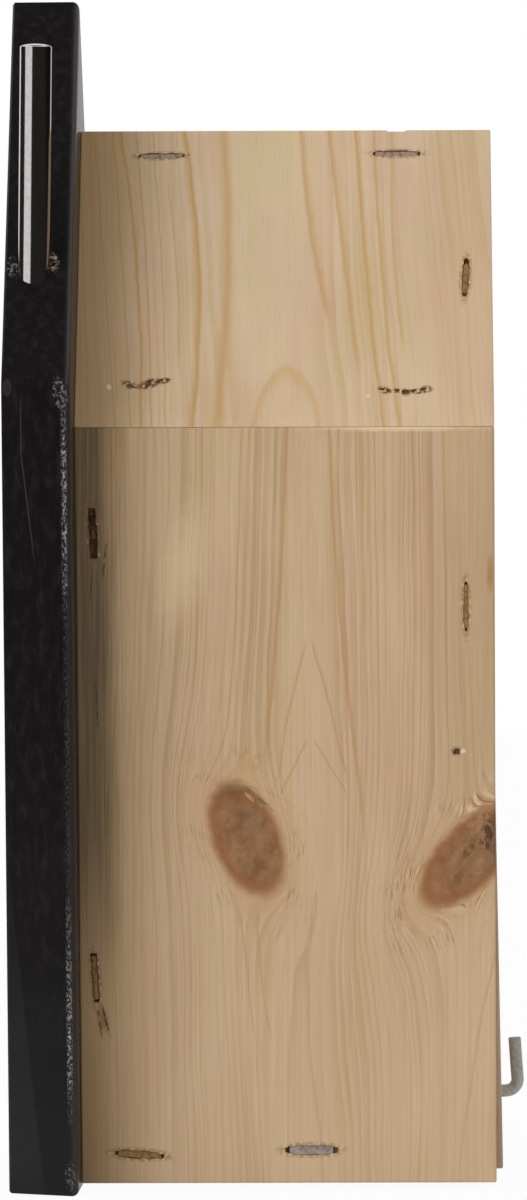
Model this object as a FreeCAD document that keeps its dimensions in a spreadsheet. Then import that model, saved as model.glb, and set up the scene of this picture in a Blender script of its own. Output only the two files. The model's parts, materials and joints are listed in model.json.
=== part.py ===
"""Bird nest box: a black house-shaped front board on a stapled pine box with a clean-out door.

Millimetres, +Z up. The front faces -Y and the right side is +X. The origin lies under the middle of the
whole object, at the height of the front board's bottom edge.
"""
import FreeCAD, Part
import math
import os
import re
import Sketcher

# Driving sizes: each alias is a cell of the sheet.
SIZES = {
    # front board
    "board_wide": 200,
    "board_eave": 200,
    "board_thick": 18,
    "pitch": 45,
    "hole_bore": 32,
    "hole_below_eaves": 39,
    # chimney rod
    "rod_bore": 8,
    "rod_from_face": 7.1,
    "rod_from_edge": 29.5,
    "rod_proud": 58,
    "rod_sunk": 20,
    "rod_chamfer": 0.5,
    # pine box
    "box_wide": 156,
    "box_depth": 105,
    "box_lift": 2,
    "wall_thick": 18,
    "wall_tall": 189,
    "roof_thick": 18,
    "floor_thick": 15,
    "panel_thick": 9,
    "back_thick": 15,
    "hang_bore": 8,
    "hang_below_ridge": 36.5,
    # clean-out door
    "door_thick": 18,
    "door_lift": 2.2,
    "door_shoulder": 7,
    "door_side_gap": 0.6,
    "door_head_gap": 0.8,
    "door_stop_gap": 0.4,
    "door_ajar": 0.9,
    "pivot_up": 107.75,
    "pivot_inset": 9.75,
    "run_fit": 0.05,
    "bore_end_gap": 0.5,
    # pivot nails
    "nail_bore": 2,
    "nail_long": 34,
    "nail_tip": 3,
    "nail_head": 3,
    "nail_head_thick": 0.8,
    # latch hook
    "hook_wire": 3.3,
    "hook_up": 15.2,
    "hook_reach": 7.3,
    "hook_leg": 14,
    "hook_bend": 3,
    "hook_sunk": 20,
    # screws through the inner front panel
    "screw_bore": 3.5,
    "screw_head": 7,
    "screw_long": 22,
    "screw_tip": 4,
    "screw_across": 40,
    "screw_low": 40,
    "screw_below_eaves": 17,
    # staples
    "staple_crown": 11,
    "staple_leg": 28,
    "staple_wire": 1.1,
    "ridge_staple_front": 22,
    "ridge_staple_back": 24,
    "eave_staple_front": 18,
    "eave_staple_back": 21.5,
    "floor_staple_front": 15.75,
    "floor_staple_back": 46,
    "panel_staple_low": 51,
    "panel_staple_below_eaves": 26.5,
    "back_staple_rise": 23.5,
    "back_staple_up_roof": 54,
}

# Places worked out from the driving sizes, as formulas of the same sheet.
PLACES = {
    "box_y": "(board_thick - box_depth - hook_reach - hook_wire / 2) / 2",
    "rear_y": "box_y + box_depth",
    "half_box": "box_wide / 2",
    "half_inside": "half_box - wall_thick",
    "board_apex": "board_eave + board_wide / 2 * tan(pitch)",
    "ridge_up": "wall_tall + half_box * tan(pitch)",
    "roof_drop": "roof_thick / cos(pitch)",
    "seat_half": "half_box - roof_thick / sin(pitch)",
    "ridge_lap": "roof_drop / 2 / tan(pitch)",
    "eaves_z": "box_lift + wall_tall",
    "ridge_z": "box_lift + ridge_up",
    "inner_ridge": "ridge_up - roof_drop",
    "hole_up": "wall_tall - hole_below_eaves",
    "pivot_y": "rear_y - pivot_inset",
    "pivot_z": "box_lift + pivot_up",
    "door_round": "sqrt(pivot_inset ^ 2 + door_shoulder ^ 2)",
    "back_low": "pivot_up + door_round + door_head_gap",
    "rod_x": "board_wide / 2 - rod_from_edge",
    "rod_root_z": "board_eave + rod_from_edge * tan(pitch)",
    "hook_x": "half_box - wall_thick / 2",
}

SHEET_WORDS = {alias: f"sizes.{alias}" for alias in {**SIZES, **PLACES}}
SCRATCH_CELL = "D1"

doc = FreeCAD.newDocument("nest_box")
sheet = doc.addObject("Spreadsheet::Sheet", "sizes")
for row, (alias, value) in enumerate({**SIZES, **PLACES}.items(), start=1):
    cell = f"B{row}"
    sheet.set(f"A{row}", alias)
    sheet.set(cell, f"={value}" if alias in PLACES else str(value))
    sheet.setAlias(cell, alias)
doc.recompute()


def cells(text):
    """Point every alias in an expression at the sheet."""
    return re.sub(r"[a-z_]+", lambda word: SHEET_WORDS.get(word[0], word[0]), text)


def bind(thing, **expressions):
    """Tie properties to the sheet; double underscores stand for the dots of a property's path."""
    for path, text in expressions.items():
        thing.setExpression(path.replace("__", "."), cells(text))


def place(thing, x="0", y="0", z="0", turn="0", axis=(0, 0, 1)):
    """Put a piece at a point, turned about one axis by an angle from the sheet."""
    thing.Placement = FreeCAD.Placement(FreeCAD.Vector(), FreeCAD.Rotation(FreeCAD.Vector(*axis), 1))
    bind(thing, Placement__Base__x=x, Placement__Base__y=y, Placement__Base__z=z)
    bind(thing, Placement__Rotation__Angle=turn)
    return thing


def value_of(text):
    """The present value of an expression, for a sketch's first drawing."""
    sheet.set(SCRATCH_CELL, f"={text}")
    sheet.recompute()
    return float(sheet.get(SCRATCH_CELL))


def new_sketch(body, plane):
    """A sketch on one of the body's own origin planes."""
    sketch = body.newObject("Sketcher::SketchObject", f"{body.Name}_{plane}")
    support = [item for item in body.Origin.OriginFeatures if item.Role == plane]
    sketch.AttachmentSupport = [(support[0], "")]
    sketch.MapMode = "FlatFace"
    return sketch


def tie(sketch, kind, edge, end, text):
    """Hold one end (or the centre) of an edge at an expression along one axis from the origin."""
    spot = sketch.addConstraint(Sketcher.Constraint(kind, -1, 1, edge, end, value_of(text)))
    sketch.setExpression(f"Constraints[{spot}]", cells(text))


def tie_point(sketch, edge, end, across, up):
    """Hold one end (or the centre) of an edge along both axes."""
    tie(sketch, "DistanceX", edge, end, across)
    tie(sketch, "DistanceY", edge, end, up)


def draw_outline(sketch, points):
    """A closed outline of straight lines through points given as expressions."""
    corners = [FreeCAD.Vector(value_of(across), value_of(up), 0) for across, up in points]
    first = sketch.GeometryCount
    last = first + len(points) - 1
    for here, there in zip(corners, corners[1:] + corners[:1]):
        sketch.addGeometry(Part.LineSegment(here, there), False)
    for edge in range(first, last + 1):
        following = first if edge == last else edge + 1
        sketch.addConstraint(Sketcher.Constraint("Coincident", edge, 2, following, 1))
    for edge, (across, up) in enumerate(points, start=first):
        tie_point(sketch, edge, 1, across, up)


def draw_circle(sketch, across, up, bore):
    """A circle of a given bore about a point."""
    centre = FreeCAD.Vector(value_of(across), value_of(up), 0)
    ring = sketch.addGeometry(Part.Circle(centre, FreeCAD.Vector(0, 0, 1), value_of(bore) / 2), False)
    tie_point(sketch, ring, 3, across, up)
    spot = sketch.addConstraint(Sketcher.Constraint("Diameter", ring, value_of(bore)))
    sketch.setExpression(f"Constraints[{spot}]", cells(bore))


def board(name, points, thick, holes=(), plane="XZ_Plane", middle=False):
    """A flat piece: an outline with round holes, padded to its thickness."""
    body = doc.addObject("PartDesign::Body", name)
    sketch = new_sketch(body, plane)
    draw_outline(sketch, points)
    for across, up, bore in holes:
        draw_circle(sketch, across, up, bore)
    pad = body.newObject("PartDesign::Pad", f"{name}_pad")
    pad.Profile = sketch
    if middle:
        pad.SideType = "Symmetric"
    bind(pad, Length=thick)
    return body


def turned(name, points):
    """A round piece: half its section, turned about the vertical axis."""
    body = doc.addObject("PartDesign::Body", name)
    sketch = new_sketch(body, "XZ_Plane")
    draw_outline(sketch, points)
    turn = body.newObject("PartDesign::Revolution", f"{name}_turn")
    turn.Profile = sketch
    turn.ReferenceAxis = (sketch, ["V_Axis"])
    turn.Angle = 360
    return body


def plank(name, long, deep, tall):
    """A square-cut board."""
    piece = doc.addObject("Part::Box", name)
    bind(piece, Length=long, Width=deep, Height=tall)
    return piece


def copies(label, master, spots):
    """One node of like fasteners: links to a master, each at its own place."""
    group = doc.addObject("Part::Compound", label)
    links = []
    for number, spot in enumerate(spots, start=1):
        link = doc.addObject("App::Link", f"{label}_{number}")
        link.LinkedObject = master
        links.append(place(link, **spot))
    group.Links = links
    group.Label = label
    return group


# Fasteners. Each master has its head or crown at the origin and is driven down -Z.
def staple(name, plane):
    """A wire staple whose crown lies along the plane's level axis."""
    points = [
        ("-staple_crown / 2", "-staple_leg"),
        ("-staple_crown / 2", "0"),
        ("staple_crown / 2", "0"),
        ("staple_crown / 2", "-staple_leg"),
        ("staple_crown / 2 - staple_wire", "-staple_leg"),
        ("staple_crown / 2 - staple_wire", "-staple_wire"),
        ("staple_wire - staple_crown / 2", "-staple_wire"),
        ("staple_wire - staple_crown / 2", "-staple_leg"),
    ]
    return board(name, points, "staple_wire", plane=plane, middle=True)


level_staple = staple("level_staple", "YZ_Plane")
upright_staple = staple("upright_staple", "XZ_Plane")
nail = turned("nail", [
    ("0", "0"),
    ("nail_head / 2", "0"),
    ("nail_head / 2", "-nail_head_thick"),
    ("nail_bore / 2", "-nail_head_thick"),
    ("nail_bore / 2", "nail_tip - nail_long"),
    ("0", "-nail_long"),
])
screw = turned("screw", [
    ("0", "0"),
    ("screw_head / 2", "0"),
    ("screw_bore / 2", "(screw_bore - screw_head) / 2"),
    ("screw_bore / 2", "screw_tip - screw_long"),
    ("0", "-screw_long"),
])

ABOUT_X = (1, 0, 0)
ABOUT_Y = (0, 1, 0)
SIDES = {"right": "1", "left": "(-1)"}


def front_and_back(kind, **spot):
    """Two places along the box, each measured from its own end."""
    return [
        {**spot, "y": f"box_y + {kind}_staple_front"},
        {**spot, "y": f"rear_y - {kind}_staple_back"},
    ]


fasteners = []
for side, sign in SIDES.items():
    wall_face = {"x": f"{sign} * half_box", "turn": f"{sign} * 90", "axis": ABOUT_Y}
    floor_row = front_and_back("floor", z="box_lift + floor_thick / 2", **wall_face)
    fasteners.append(copies(f"floor_staples_{side}", level_staple, floor_row))
    panel_heights = ("box_lift + panel_staple_low", "eaves_z - panel_staple_below_eaves")
    fasteners.append(copies(f"panel_staples_{side}", upright_staple, [
        {**wall_face, "y": "box_y + panel_thick / 2", "z": height} for height in panel_heights
    ]))
    on_wall = {**wall_face, "z": "box_lift + back_low + back_staple_rise"}
    on_roof = {
        "x": f"{sign} * (half_box - back_staple_up_roof * cos(pitch))",
        "z": "eaves_z + back_staple_up_roof * sin(pitch)",
        "turn": f"{sign} * pitch",
        "axis": ABOUT_Y,
    }
    fasteners.append(copies(f"back_staples_{side}", upright_staple, [
        {**spot, "y": "rear_y - back_thick / 2"} for spot in (on_wall, on_roof)
    ]))
    eave_row = front_and_back(
        "eave",
        x=f"{sign} * (half_box - wall_thick / 2)",
        z="eaves_z + (wall_thick - staple_wire) / 2 * tan(pitch)",
    )
    fasteners.append(copies(f"eave_staples_{side}", level_staple, eave_row))
    fasteners.append(copies(f"pivot_nail_{side}", nail, [{**wall_face, "y": "pivot_y", "z": "pivot_z"}]))
ridge_row = front_and_back(
    "ridge", x="ridge_lap / 2", z="ridge_z - roof_drop / 4", turn="90 - pitch", axis=ABOUT_Y)
fasteners.append(copies("ridge_staples", level_staple, ridge_row))
screw_heights = ("box_lift + screw_low", "eaves_z - screw_below_eaves")
fasteners.append(copies("front_screws", screw, [
    {"x": f"{sign} * screw_across", "y": "box_y + panel_thick", "z": height, "turn": "-90", "axis": ABOUT_X}
    for sign in SIDES.values() for height in screw_heights
]))

# Chimney rod: a plain bar with its top edge chamfered and its foot sunk in the gable slope.
chimney_rod = turned("chimney_rod", [
    ("0", "-rod_sunk"),
    ("rod_bore / 2", "-rod_sunk"),
    ("rod_bore / 2", "rod_proud - rod_chamfer"),
    ("rod_bore / 2 - rod_chamfer", "rod_proud"),
    ("0", "rod_proud"),
])
place(chimney_rod, x="rod_x", y="box_y - board_thick + rod_from_face", z="rod_root_z")

# Latch hook: a wire shank that runs back out of the left wall and turns up.
latch_hook = doc.addObject("PartDesign::Body", "latch_hook")
hook_path = new_sketch(latch_hook, "YZ_Plane")
reach = "hook_sunk + hook_reach"
straight = "hook_sunk + hook_reach - hook_bend"
shank_end = FreeCAD.Vector(value_of(straight), 0, 0)
leg_start = FreeCAD.Vector(value_of(reach), value_of("hook_bend"), 0)
leg_end = FreeCAD.Vector(value_of(reach), value_of("hook_leg"), 0)
bend_centre = FreeCAD.Vector(shank_end.x, leg_start.y, 0)
bend = Part.Circle(bend_centre, FreeCAD.Vector(0, 0, 1), leg_start.y)
hook_path.addGeometry(Part.LineSegment(FreeCAD.Vector(), shank_end), False)
hook_path.addGeometry(Part.ArcOfCircle(bend, math.radians(270), math.radians(360)), False)
hook_path.addGeometry(Part.LineSegment(leg_start, leg_end), False)
for edge in (0, 1):
    hook_path.addConstraint(Sketcher.Constraint("Coincident", edge, 2, edge + 1, 1))
tie_point(hook_path, 0, 1, "0", "0")
tie_point(hook_path, 0, 2, straight, "0")
tie_point(hook_path, 1, 3, straight, "hook_bend")
tie(hook_path, "DistanceY", 2, 1, "hook_bend")
tie_point(hook_path, 2, 2, reach, "hook_leg")
hook_section = new_sketch(latch_hook, "XZ_Plane")
draw_circle(hook_section, "0", "0", "hook_wire")
hook_pipe = latch_hook.newObject("PartDesign::AdditivePipe", "hook_pipe")
hook_pipe.Profile = hook_section
hook_pipe.Spine = hook_path
place(latch_hook, x="-hook_x", y="rear_y - hook_sunk", z="box_lift + hook_up")

# Clean-out door: a board whose back top edge is rounded about its pivot, the origin of its section.
door_front = "pivot_inset - door_thick"
door_foot = "door_lift - pivot_up"
door_blank = doc.addObject("PartDesign::Body", "door_blank")
door_section = new_sketch(door_blank, "YZ_Plane")
front_foot = FreeCAD.Vector(value_of(door_front), value_of(door_foot), 0)
back_foot = FreeCAD.Vector(value_of("pivot_inset"), front_foot.y, 0)
shoulder = FreeCAD.Vector(back_foot.x, value_of("door_shoulder"), 0)
crest = FreeCAD.Vector(0, value_of("door_round"), 0)
front_head = FreeCAD.Vector(front_foot.x, crest.y, 0)
head_circle = Part.Circle(FreeCAD.Vector(), FreeCAD.Vector(0, 0, 1), crest.y)
shoulder_angle = math.atan2(shoulder.y, shoulder.x)
door_section.addGeometry(Part.LineSegment(front_foot, back_foot), False)
door_section.addGeometry(Part.LineSegment(back_foot, shoulder), False)
door_section.addGeometry(Part.ArcOfCircle(head_circle, shoulder_angle, math.radians(90)), False)
door_section.addGeometry(Part.LineSegment(crest, front_head), False)
door_section.addGeometry(Part.LineSegment(front_head, front_foot), False)
for edge, following in ((0, 1), (1, 2), (2, 3), (3, 4), (4, 0)):
    door_section.addConstraint(Sketcher.Constraint("Coincident", edge, 2, following, 1))
tie_point(door_section, 0, 1, door_front, door_foot)
tie_point(door_section, 1, 1, "pivot_inset", door_foot)
tie_point(door_section, 2, 1, "pivot_inset", "door_shoulder")
tie_point(door_section, 2, 3, "0", "0")
tie(door_section, "DistanceX", 3, 1, "0")
tie_point(door_section, 4, 1, door_front, "door_round")
door_pad = door_blank.newObject("PartDesign::Pad", "door_pad")
door_pad.Profile = door_section
door_pad.SideType = "Symmetric"
bind(door_pad, Length="2 * (half_inside - door_side_gap)")
place(door_blank, y="pivot_y", z="pivot_z", turn="door_ajar", axis=ABOUT_X)

# Bores that leave room to turn: the pivot nails' in the door and the hook's in the left wall.
pivot_bores = []
for side, sign in SIDES.items():
    pivot_bore = doc.addObject("Part::Cylinder", f"pivot_bore_{side}")
    bind(pivot_bore, Radius="nail_bore / 2 + run_fit", Height="nail_long - wall_thick + bore_end_gap")
    inward = {"turn": f"-90 * {sign}", "axis": ABOUT_Y}
    place(pivot_bore, x=f"{sign} * half_inside", y="pivot_y", z="pivot_z", **inward)
    pivot_bores.append(pivot_bore)
hook_bore = doc.addObject("Part::Cylinder", "hook_bore")
bind(hook_bore, Radius="hook_wire / 2 + run_fit", Height="hook_sunk + bore_end_gap")
place(hook_bore, x="-hook_x", y="rear_y", z="box_lift + hook_up", turn="90", axis=ABOUT_X)

# Boards before they are pierced by the fasteners.
front_blank = board("front_blank", [
    ("-board_wide / 2", "0"),
    ("board_wide / 2", "0"),
    ("board_wide / 2", "board_eave"),
    ("0", "board_apex"),
    ("-board_wide / 2", "board_eave"),
], "board_thick", holes=[("0", "box_lift + hole_up", "hole_bore")])
place(front_blank, y="box_y")

roof_right_blank = board("roof_right_blank", [
    ("half_box", "wall_tall"),
    ("0", "ridge_up"),
    ("-ridge_lap", "ridge_up - roof_drop / 2"),
    ("seat_half", "wall_tall"),
], "box_depth")
roof_left_blank = board("roof_left_blank", [
    ("-half_box", "wall_tall"),
    ("-seat_half", "wall_tall"),
    ("0", "inner_ridge"),
    ("-ridge_lap", "ridge_up - roof_drop / 2"),
], "box_depth")
back_blank = board("back_blank", [
    ("-half_inside", "back_low"),
    ("half_inside", "back_low"),
    ("half_inside", "wall_tall"),
    ("seat_half", "wall_tall"),
    ("0", "inner_ridge"),
    ("-seat_half", "wall_tall"),
    ("-half_inside", "wall_tall"),
], "back_thick", holes=[("0", "inner_ridge - hang_below_ridge", "hang_bore")])
for blank in (roof_right_blank, roof_left_blank, back_blank):
    place(blank, y="rear_y", z="box_lift")

panel_blank = board("panel_blank", [
    ("-half_inside", "0"),
    ("half_inside", "0"),
    ("half_inside", "wall_tall"),
    ("-half_inside", "wall_tall"),
], "panel_thick", holes=[("0", "hole_up", "hole_bore")])
place(panel_blank, y="box_y + panel_thick", z="box_lift")

floor_blank = plank("floor_blank", "2 * half_inside",
                    "box_depth - panel_thick - door_thick - door_stop_gap", "floor_thick")
place(floor_blank, x="-half_inside", y="box_y + panel_thick", z="box_lift")
wall_right_blank = plank("wall_right_blank", "wall_thick", "box_depth", "wall_tall")
place(wall_right_blank, x="half_inside", y="box_y", z="box_lift")
wall_left_blank = plank("wall_left_blank", "wall_thick", "box_depth", "wall_tall")
place(wall_left_blank, x="-half_box", y="box_y", z="box_lift")


def pierced(label, blank, tools):
    """A board with the seats of what is driven into it."""
    cutter = doc.addObject("Part::Compound", f"{label}_cutters")
    cutter.Links = tools
    piece = doc.addObject("Part::Cut", label)
    piece.Base = blank
    piece.Tool = cutter
    piece.Label = label
    return piece


pieces = [
    pierced("front_board", front_blank, [*fasteners, chimney_rod]),
    pierced("side_wall_right", wall_right_blank, fasteners),
    pierced("side_wall_left", wall_left_blank, [*fasteners, hook_bore]),
    pierced("roof_board_right", roof_right_blank, fasteners),
    pierced("roof_board_left", roof_left_blank, fasteners),
    pierced("floor_panel", floor_blank, fasteners),
    pierced("inner_front_panel", panel_blank, fasteners),
    pierced("back_panel", back_blank, fasteners),
    pierced("clean_out_door", door_blank, pivot_bores),
    chimney_rod,
    latch_hook,
    *fasteners,
]
sheet.clear(SCRATCH_CELL)
doc.recompute()

for item in doc.Objects:
    if {"Invalid", "Error"} & set(item.State):
        raise RuntimeError(f"{item.Name} did not rebuild: {item.State}")
for piece in pieces:
    if piece.Shape.isNull() or not piece.Shape.isValid() or not piece.Shape.Solids:
        raise RuntimeError(f"{piece.Label} has no sound solid")

os.makedirs("parts", exist_ok=True)
for piece in pieces:
    piece.Shape.exportStep(f"parts/{piece.Label}.step")
    box = piece.Shape.BoundBox
    print(f"{piece.Label}: {len(piece.Shape.Solids)} solid(s), {box.XLength:.2f} x {box.YLength:.2f} x "
          f"{box.ZLength:.2f} mm, {piece.Shape.Volume:.1f} mm3")
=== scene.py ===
"""Looks of the bird nest box: pine boards with torn staple seats, a worn black front, bright steel.

Lengths in the mesh code are millimetres, in the frame of the CAD part; each piece is brought to metres at
the end. A board is made in its own frame: x out of its face, z along its grain, y across.
"""
import json
import math

import bmesh
import bpy
from mathutils import Matrix, Vector, noise


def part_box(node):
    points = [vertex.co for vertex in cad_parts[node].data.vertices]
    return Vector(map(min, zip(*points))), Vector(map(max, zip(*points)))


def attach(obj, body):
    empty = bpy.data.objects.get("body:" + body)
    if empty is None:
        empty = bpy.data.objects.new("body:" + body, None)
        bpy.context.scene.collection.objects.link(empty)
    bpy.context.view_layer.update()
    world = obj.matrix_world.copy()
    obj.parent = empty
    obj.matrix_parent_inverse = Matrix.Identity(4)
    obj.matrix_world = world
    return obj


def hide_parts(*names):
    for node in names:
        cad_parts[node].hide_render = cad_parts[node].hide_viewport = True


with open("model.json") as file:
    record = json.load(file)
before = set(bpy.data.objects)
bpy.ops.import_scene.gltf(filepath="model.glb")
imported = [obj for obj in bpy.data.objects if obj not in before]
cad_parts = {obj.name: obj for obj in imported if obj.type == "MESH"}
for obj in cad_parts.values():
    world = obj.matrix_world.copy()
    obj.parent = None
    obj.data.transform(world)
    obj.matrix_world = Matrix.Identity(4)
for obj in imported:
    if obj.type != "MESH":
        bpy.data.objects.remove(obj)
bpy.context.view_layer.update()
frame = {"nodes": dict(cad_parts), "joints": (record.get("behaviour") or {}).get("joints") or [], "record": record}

MM = 0.001


def cad_corners(node):
    """A CAD node's lowest and highest corner in millimetres."""
    return [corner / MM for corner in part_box(node)]


wall_low, wall_high = cad_corners("side_wall_right")
front_high = cad_corners("front_board")[1]
floor_low, floor_high = cad_corners("floor_panel")
panel_low, panel_high = cad_corners("inner_front_panel")
back_low, back_high = cad_corners("back_panel")
rod_low, rod_high = cad_corners("chimney_rod")

HALF_BOX = wall_high.x
BOX_FRONT = wall_low.y
BOX_REAR = wall_high.y
BOX_FOOT = wall_low.z
EAVES = wall_high.z
WALL_THICK = wall_high.x - wall_low.x
WALL_TALL = EAVES - BOX_FOOT
ROOF_THICK = 18.0
SLOPE_LONG = HALF_BOX * math.sqrt(2)

# The front board leans a little forward and is a shade thinner than its stock.
FRONT_THICK = 17.25
FRONT_SHIFT = 0.55
FRONT_LEAN = 0.0073
LEAN_FROM = 100.0
# It is a little taller at the gable than in the CAD part, and its foot is cut slantwise.
PEAK_RISE = 2.3
EAVE_RISE = 1.3
FOOT_SLANT = 0.9
# The entrance.
HOLE_RADIUS = 16.0
HOLE_UP = 152.0


def front_plane(height):
    """How far the seam between the front board and the box lies behind its place in the CAD part."""
    return FRONT_SHIFT - FRONT_LEAN * (height - LEAN_FROM)


def linear(red, green, blue):
    """A colour from the 0 to 255 steps of a colour picker."""
    steps = [part / 255 for part in (red, green, blue)]
    return [s / 12.92 if s <= 0.04045 else ((s + 0.055) / 1.055) ** 2.4 for s in steps] + [1.0]


# Shader building.


def plug(tree, socket, value):
    """Link a value to a socket, or set it there."""
    if isinstance(value, bpy.types.NodeSocket):
        tree.links.new(value, socket)
    elif value is not None:
        socket.default_value = value


def add(tree, kind, *values, **settings):
    """A node with its first inputs filled in order; its settings go by name."""
    made = tree.nodes.new("ShaderNode" + kind)
    for key, value in settings.items():
        setattr(made, key, value)
    for socket, value in zip(made.inputs, values):
        plug(tree, socket, value)
    return made


def axes(tree, vector):
    """The three parts of a vector."""
    return add(tree, "SeparateXYZ", vector).outputs


def calc(tree, operation, *values, clamp=False):
    return add(tree, "Math", *values, operation=operation, use_clamp=clamp).outputs[0]


def times(tree, first, *others):
    """The product of two or more values."""
    for other in others:
        first = calc(tree, "MULTIPLY", first, other)
    return first


def minus(tree, first, second):
    return calc(tree, "SUBTRACT", first, second)


def scale_add(tree, value, factor, rest, clamp=False):
    """A value times a factor, plus the rest."""
    return calc(tree, "MULTIPLY_ADD", value, factor, rest, clamp=clamp)


def ramp(tree, value, start, stop, low=0.0, high=1.0):
    """A smooth step of a value."""
    return add(tree, "MapRange", value, start, stop, low, high, interpolation_type="SMOOTHSTEP").outputs[0]


def hump(tree, value, start, full, fading, stop):
    """A smooth step up and down again: whole from full to fading, nothing outside of start and stop."""
    return times(tree, ramp(tree, value, start, full), ramp(tree, value, stop, fading))


def blend(tree, factor, first, second, way="MIX"):
    made = tree.nodes.new("ShaderNodeMix")
    made.data_type = "RGBA"
    made.blend_type = way
    plug(tree, made.inputs[0], factor)
    plug(tree, made.inputs[6], first)
    plug(tree, made.inputs[7], second)
    return made.outputs[2]


def draw(tree, colour, mask, share, ink):
    """Lay an ink over a colour where a mask says, at its share."""
    return blend(tree, times(tree, mask, share), colour, ink)


def clouds(tree, vector, scale, detail=3.0, rough=0.55):
    """A soft noise; a scale for each axis draws it out along the grain."""
    if isinstance(scale, tuple):
        vector = add(tree, "VectorMath", vector, scale, operation="MULTIPLY").outputs[0]
        scale = 1.0
    made = tree.nodes.new("ShaderNodeTexNoise")
    plug(tree, made.inputs["Vector"], vector)
    plug(tree, made.inputs["Scale"], scale)
    plug(tree, made.inputs["Detail"], detail)
    plug(tree, made.inputs["Roughness"], rough)
    return made.outputs["Fac"]


def ripple(tree, vector, scale, *settings):
    """Clouds that swing about zero."""
    return minus(tree, clouds(tree, vector, scale, *settings), 0.5)


def new_group(name, inputs, outputs):
    """A shader group with its sockets; values are floats unless they are named Place."""
    tree = bpy.data.node_groups.new(name, "ShaderNodeTree")
    for label in inputs:
        kind = "NodeSocketVector" if label == "Place" else "NodeSocketFloat"
        tree.interface.new_socket(label, in_out="INPUT", socket_type=kind)
    for label in outputs:
        tree.interface.new_socket(label, in_out="OUTPUT", socket_type="NodeSocketFloat")
    return tree, tree.nodes.new("NodeGroupInput").outputs, tree.nodes.new("NodeGroupOutput").inputs


def use(tree, group, **values):
    """A group placed in a material; input names use underscores for spaces."""
    made = tree.nodes.new("ShaderNodeGroup")
    made.node_tree = group
    for label, value in values.items():
        plug(tree, made.inputs[label.replace("_", " ")], value)
    return made.outputs


# An oval mark on a board: its own radius, 1 at the rim, and how far it pushes the grain aside.
oval, given, out = new_group(
    "oval_mark", ["Place", "Across", "Along", "Half Width", "Half Length", "Tilt", "Ragged"],
    ["Radius", "Shift"])
spot = axes(oval, given["Place"])
aside = minus(oval, spot[1], given["Across"])
above = minus(oval, spot[2], given["Along"])
sine = calc(oval, "SINE", given["Tilt"])
cosine = calc(oval, "COSINE", given["Tilt"])
turned_aside = scale_add(oval, aside, cosine, times(oval, above, sine))
turned_above = minus(oval, times(oval, above, cosine), times(oval, aside, sine))
wide_part = calc(oval, "DIVIDE", turned_aside, given["Half Width"])
long_part = calc(oval, "DIVIDE", turned_above, given["Half Length"])
squared = scale_add(oval, wide_part, wide_part, times(oval, long_part, long_part))
wander = ripple(oval, given["Place"], 0.35)
plug(oval, out["Radius"], scale_add(oval, wander, given["Ragged"], calc(oval, "SQRT", squared)))
plug(oval, out["Shift"], calc(oval, "DIVIDE", aside, calc(oval, "MAXIMUM", squared, 1.0)))

# The distance from the heart of the tree, which the growth rings follow.
rings, given, out = new_group(
    "ring_distance", ["Place", "Shift", "Heart", "Lean", "Depth", "Fall"], ["Ring"])
spot = axes(rings, given["Place"])
heart_line = scale_add(rings, spot[2], given["Lean"], given["Heart"])
aside = minus(rings, minus(rings, spot[1], given["Shift"]), heart_line)
deep = calc(rings, "MAXIMUM", scale_add(rings, spot[2], given["Fall"], given["Depth"]), 1.0)
deep = minus(rings, deep, spot[0])
distance = calc(rings, "SQRT", scale_add(rings, aside, aside, times(rings, deep, deep)))
wobble = ripple(rings, given["Place"], (0.05, 0.05, 0.012), 2.0)
plug(rings, out["Ring"], scale_add(rings, wobble, 5.0, distance))

# Growth lines: each ring darkens slowly and ends sharply, and no two are equally strong.
growth, given, out = new_group("growth_lines", ["Ring", "Gap", "Uneven"], ["Line"])
counted = calc(growth, "DIVIDE", given["Ring"], given["Gap"])
drift = add(growth, "TexNoise", noise_dimensions="1D")
plug(growth, drift.inputs["W"], counted)
plug(growth, drift.inputs["Scale"], 0.9)
plug(growth, drift.inputs["Detail"], 1.0)
counted = scale_add(growth, minus(growth, drift.outputs["Fac"], 0.5), given["Uneven"], counted)
line = hump(growth, calc(growth, "FRACT", counted), 0.35, 0.92, 0.94, 1.0)
whole = calc(growth, "FLOOR", counted)
own = add(growth, "TexWhiteNoise", None, whole, noise_dimensions="1D").outputs["Value"]
plug(growth, out["Line"], times(growth, line, scale_add(growth, own, 0.85, 0.15)))

# One late-wood line drawn along the grain: soft towards the heart, sharp on its other side.
late, given, out = new_group(
    "late_wood_line", ["Place", "Shift", "At Foot", "Slope", "Bow", "Soft", "Sharp", "From", "To"], ["Line"])
spot = axes(late, given["Place"])
slope = scale_add(late, spot[2], given["Bow"], given["Slope"])
run = scale_add(late, slope, spot[2], given["At Foot"])
off = minus(late, minus(late, spot[1], given["Shift"]), run)
off = scale_add(late, ripple(late, given["Place"], (0.1, 0.1, 0.05)), 1.6, off)
across = hump(late, off, times(late, given["Soft"], -1.0), 0.0, 0.0, given["Sharp"])
fade = times(late, minus(late, given["To"], given["From"]), 0.15)
begun = calc(late, "ADD", given["From"], fade)
ended = minus(late, given["To"], fade)
along = hump(late, spot[2], given["From"], begun, ended, given["To"])
plug(late, out["Line"], times(late, across, along))

# Wood fibres: long faint streaks, short dark pores and broad patches.
fibres, given, out = new_group("wood_fibres", ["Place"], ["Streak", "Pore", "Patch"])
plug(fibres, out["Streak"], clouds(fibres, given["Place"], (1.1, 1.1, 0.02), 4.0, 0.65))
plug(fibres, out["Pore"], ramp(fibres, clouds(fibres, given["Place"], (2.6, 2.6, 0.11), 2.0), 0.6, 0.74))
plug(fibres, out["Patch"], clouds(fibres, given["Place"], (0.05, 0.05, 0.016), 2.0))


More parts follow.
